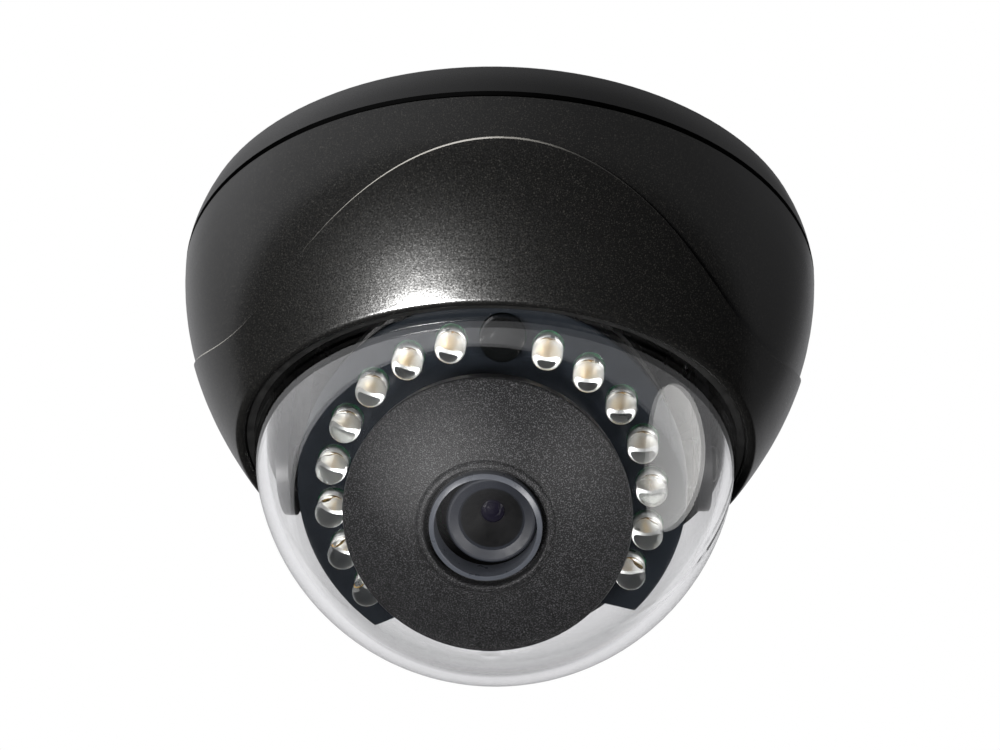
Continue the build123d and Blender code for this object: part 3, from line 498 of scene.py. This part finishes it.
def lathe(work, outline, place, steps):
    """Turns (radius, height) points about the local Z of a place; closes the ends on the axis."""
    rings = []
    for radius, height in outline:
        if radius < 1e-7:
            rings.append([work.verts.new(place @ Vector((0, 0, height)))])
            continue
        turns = [2 * math.pi * i / steps for i in range(steps)]
        points = [Vector((radius * math.cos(a), radius * math.sin(a), height)) for a in turns]
        rings.append([work.verts.new(place @ point) for point in points])
    for low, high in zip(rings, rings[1:]):
        for i in range(steps):
            j = (i + 1) % steps
            corners = [low[i % len(low)], low[j % len(low)]]
            corners += [high[j % len(high)], high[i % len(high)]]
            work.faces.new(list(dict.fromkeys(corners)))


def slab(work, place, outline, low, high):
    """A flat plate with an outline of (x, y) points between two heights."""
    bottom = [work.verts.new(place @ Vector((x, y, low))) for x, y in outline]
    top = [work.verts.new(place @ Vector((x, y, high))) for x, y in outline]
    work.faces.new(bottom[::-1])
    work.faces.new(top)
    for i in range(len(outline)):
        j = (i + 1) % len(outline)
        work.faces.new([bottom[i], bottom[j], top[j], top[i]])


# ---------------------------------------------------------------- lamps
LAMP_R = 2.5 * MM
LAMP_H = 8.65 * MM
LAMP_FLANGE_R = 2.9 * MM
LAMP_FLANGE_T = 1.0 * MM
ROUND_STEPS = 9                      # from the lamp's side to the tip of its round end
FRAME_FOOT = 0.3 * MM                # the frame starts this far above the foot of the lamp
DISH_R = 2.1 * MM                    # the anvil, at its widest
DISH_LOW = 0.5 * MM
DISH_HIGH = 3.3 * MM
CUP_R = 0.95 * MM                    # the cup in its top
CUP_DEEP = 0.7 * MM
POST_NEAR = 1.12 * MM                # the post beside it
POST_FAR = 1.75 * MM
POST_HALF = 0.28 * MM
POST_RISE = 0.75 * MM
DIE = 0.5 * MM
DIE_FROM = 0.02 * MM                 # heights over the cup's floor
DIE_TO = 0.3 * MM
BOND_R = 0.045 * MM
# the bond wire, in millimetres from the middle of the anvil's top
BOND_PATH = ((0, 0, -0.35), (0.25, 0, 0.75), (0.8, 0, 1.0), (1.4, 0, 0.78))


def lamp_places():
    """Where each lamp stands, with local Z along the lamp and local X away from the lens."""
    places = []
    for group in islands("ir_leds"):
        low = min(point.dot(module_axis) for point in group)
        middle = sum(group, Vector()) / len(group)
        foot = middle + module_axis * (low - middle.dot(module_axis))
        outward = foot - module_centre
        outward = (outward - module_axis * outward.dot(module_axis)).normalized()
        side = module_axis.cross(outward)
        turn = Matrix((outward, side, module_axis)).transposed().to_4x4()
        places.append(Matrix.Translation(foot) @ turn)
    return places


def add_lamp_bodies(materials):
    """The clear moulded bodies: a flange, a straight side and a round end."""
    work = bmesh.new()
    flange = [(0.0, 0.0), (LAMP_FLANGE_R, 0.0), (LAMP_FLANGE_R, LAMP_FLANGE_T)]
    outline = flange + [(LAMP_R, LAMP_FLANGE_T)]
    for i in range(ROUND_STEPS + 1):
        turn = math.pi / 2 * i / ROUND_STEPS
        outline.append((LAMP_R * math.cos(turn), LAMP_H - LAMP_R + LAMP_R * math.sin(turn)))
    outline[-1] = (0.0, LAMP_H)
    for place in lamp_places():
        lathe(work, outline, place, 36)
    bodies = mesh_object("lamp_bodies", work, materials["led_epoxy"], "module")
    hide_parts("ir_leds")
    return bodies


def add_lamp_frames(materials):
    """The bright frame in each lamp: an anvil with its cup, a post, a die and its wire."""
    frames = bmesh.new()
    dies = bmesh.new()
    cup_floor = DISH_HIGH - CUP_DEEP
    anvil = [
        (0.0, FRAME_FOOT), (DISH_R * 0.95, FRAME_FOOT), (DISH_R, DISH_LOW),
        (DISH_R * 0.93, DISH_HIGH * 0.72), (DISH_R * 0.80, DISH_HIGH * 0.92),
        (DISH_R * 0.62, DISH_HIGH), (CUP_R * 1.15, DISH_HIGH + 0.25 * MM),
        (CUP_R, DISH_HIGH + 0.22 * MM), (CUP_R * 0.55, cup_floor), (0.0, cup_floor),
    ]
    post = [(POST_NEAR, -POST_HALF), (POST_FAR, -POST_HALF)]
    post += [(POST_FAR, POST_HALF), (POST_NEAR, POST_HALF)]
    square = [(x * DIE / 2, y * DIE / 2) for x, y in ((-1, -1), (1, -1), (1, 1), (-1, 1))]
    for place in lamp_places():
        lathe(frames, anvil, place, 28)
        slab(frames, place, post, DISH_HIGH * 0.6, DISH_HIGH + POST_RISE)
        slab(dies, place, square, cup_floor + DIE_FROM, cup_floor + DIE_TO)
        for start, end in zip(BOND_PATH, BOND_PATH[1:]):
            start = Vector(start) * MM + Vector((0, 0, DISH_HIGH))
            end = Vector(end) * MM + Vector((0, 0, DISH_HIGH))
            along = end - start
            turn = along.to_track_quat("Z", "Y").to_matrix().to_4x4()
            wire = [(0.0, 0.0), (BOND_R, 0.0), (BOND_R, along.length), (0.0, along.length)]
            lathe(dies, wire, place @ Matrix.Translation(start) @ turn, 6)
    fine = mesh_object("lamp_frames", frames, materials["leadframe"], "module")
    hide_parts("led_leadframes")
    small = mesh_object("lamp_dies_and_wires", dies, materials["die_gold"], "module")
    return [fine, small]


# ---------------------------------------------------------------- cover lip and lens surround
FLANK_TOP = Vector((55.45, -8.0)) * MM      # the cover's flank as (radius, height), below its step
FLANK_BEND = Vector((55.15, -24.25)) * MM
LIP_START = Vector((44.3, -40.5)) * MM
LIP_END = Vector((42.4, -40.0)) * MM
LIP_PROUD = 0.02 * MM                # the fine lip stands this far over the CAD's facets
LIP_UNDER = 0.03 * MM                # and runs out this far under them
LIP_SHARE = 0.84                     # it starts at this share of the flank's curve
LIP_STEPS = 20                       # points along the flank, and again round the lip
LIP_RISE = 14                        # it has come up over the facets after this many
BEZEL_R = 9.05 * MM
BEZEL_NECK = BEZEL_R - 0.5 * MM
BEZEL_BORE = 8.2 * MM
BEZEL_FOOT = 24.4 * MM               # heights along the lens axis, from the tilt axis
BEZEL_STEP = 27.17 * MM
BEZEL_TOP = 29.3 * MM


def add_cover_lip(materials):
    """A fine round lip over the cover's own, which runs out under its flank and its mouth."""
    outline = []
    for i in range(LIP_STEPS):
        t = LIP_SHARE + (1 - LIP_SHARE) * i / LIP_STEPS
        point = FLANK_TOP * (1 - t) ** 2 + FLANK_BEND * 2 * t * (1 - t) + LIP_START * t**2
        slope = ((FLANK_BEND - FLANK_TOP) * (1 - t) + (LIP_START - FLANK_BEND) * t).normalized()
        lift = -LIP_UNDER + (LIP_PROUD + LIP_UNDER) * min(1, i / LIP_RISE)
        outline.append(point + Vector((-slope.y, slope.x)) * lift)
    chord = LIP_END - LIP_START
    slope = (LIP_START - FLANK_BEND).normalized()
    inward = Vector((slope.y, -slope.x))
    radius = chord.length_squared / (2 * chord.dot(inward))
    centre = LIP_START + inward * radius
    begin = math.atan2(*reversed(LIP_START - centre))
    finish = math.atan2(*reversed(LIP_END - centre))
    for i in range(LIP_STEPS + 1):
        angle = begin + (finish - begin) * i / LIP_STEPS
        lift = LIP_PROUD if i < LIP_STEPS - 3 else -LIP_UNDER
        outline.append(centre + Vector((math.cos(angle), math.sin(angle))) * (radius + lift))
    work = bmesh.new()
    lathe(work, outline, Matrix.Identity(4), 288)
    return mesh_object("cover_lip", work, materials["cover_paint"], "cover_body")


def add_bezel(materials):
    """The ring round the lens, with its wide turned chamfer and softened edges."""
    work = bmesh.new()
    outline = [
        (BEZEL_BORE, BEZEL_FOOT), (BEZEL_NECK, BEZEL_FOOT), (BEZEL_NECK, BEZEL_STEP),
        (BEZEL_R, BEZEL_STEP), (BEZEL_R, BEZEL_TOP - 0.42 * MM),
        (BEZEL_R - 0.03 * MM, BEZEL_TOP - 0.33 * MM), (BEZEL_R - 0.11 * MM, BEZEL_TOP - 0.28 * MM),
        (BEZEL_BORE + 0.14 * MM, BEZEL_TOP - 0.03 * MM),
        (BEZEL_BORE + 0.07 * MM, BEZEL_TOP), (BEZEL_BORE + 0.02 * MM, BEZEL_TOP - 0.03 * MM),
        (BEZEL_BORE, BEZEL_TOP - 0.12 * MM), (BEZEL_BORE, BEZEL_FOOT),
    ]
    turn = Matrix((module_right, module_up, module_axis)).transposed().to_4x4()
    lathe(work, outline, Matrix.Translation(module_centre) @ turn, 128)
    bmesh.ops.remove_doubles(work, verts=work.verts, dist=1e-7)
    bezel = mesh_object("lens_surround", work, materials["bezel_black"], "module")
    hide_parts("lens_bezel")
    return bezel


# ---------------------------------------------------------------- build
add_camera()
add_world()
add_floor()
materials = make_materials()
for row in frame["record"]["subparts"]:
    mesh = nodes[row["node"]].data
    mesh.materials.clear()
    mesh.materials.append(materials[row["material_slot"]])
pieces = add_lamp_frames(materials)
pieces.append(add_lamp_bodies(materials))
pieces.append(add_bezel(materials))
lip = add_cover_lip(materials)
add_lamps(lip, pieces + [piece for name, piece in nodes.items() if name not in OUTER_NODES])

bpy.context.scene.view_settings.view_transform = "Standard"
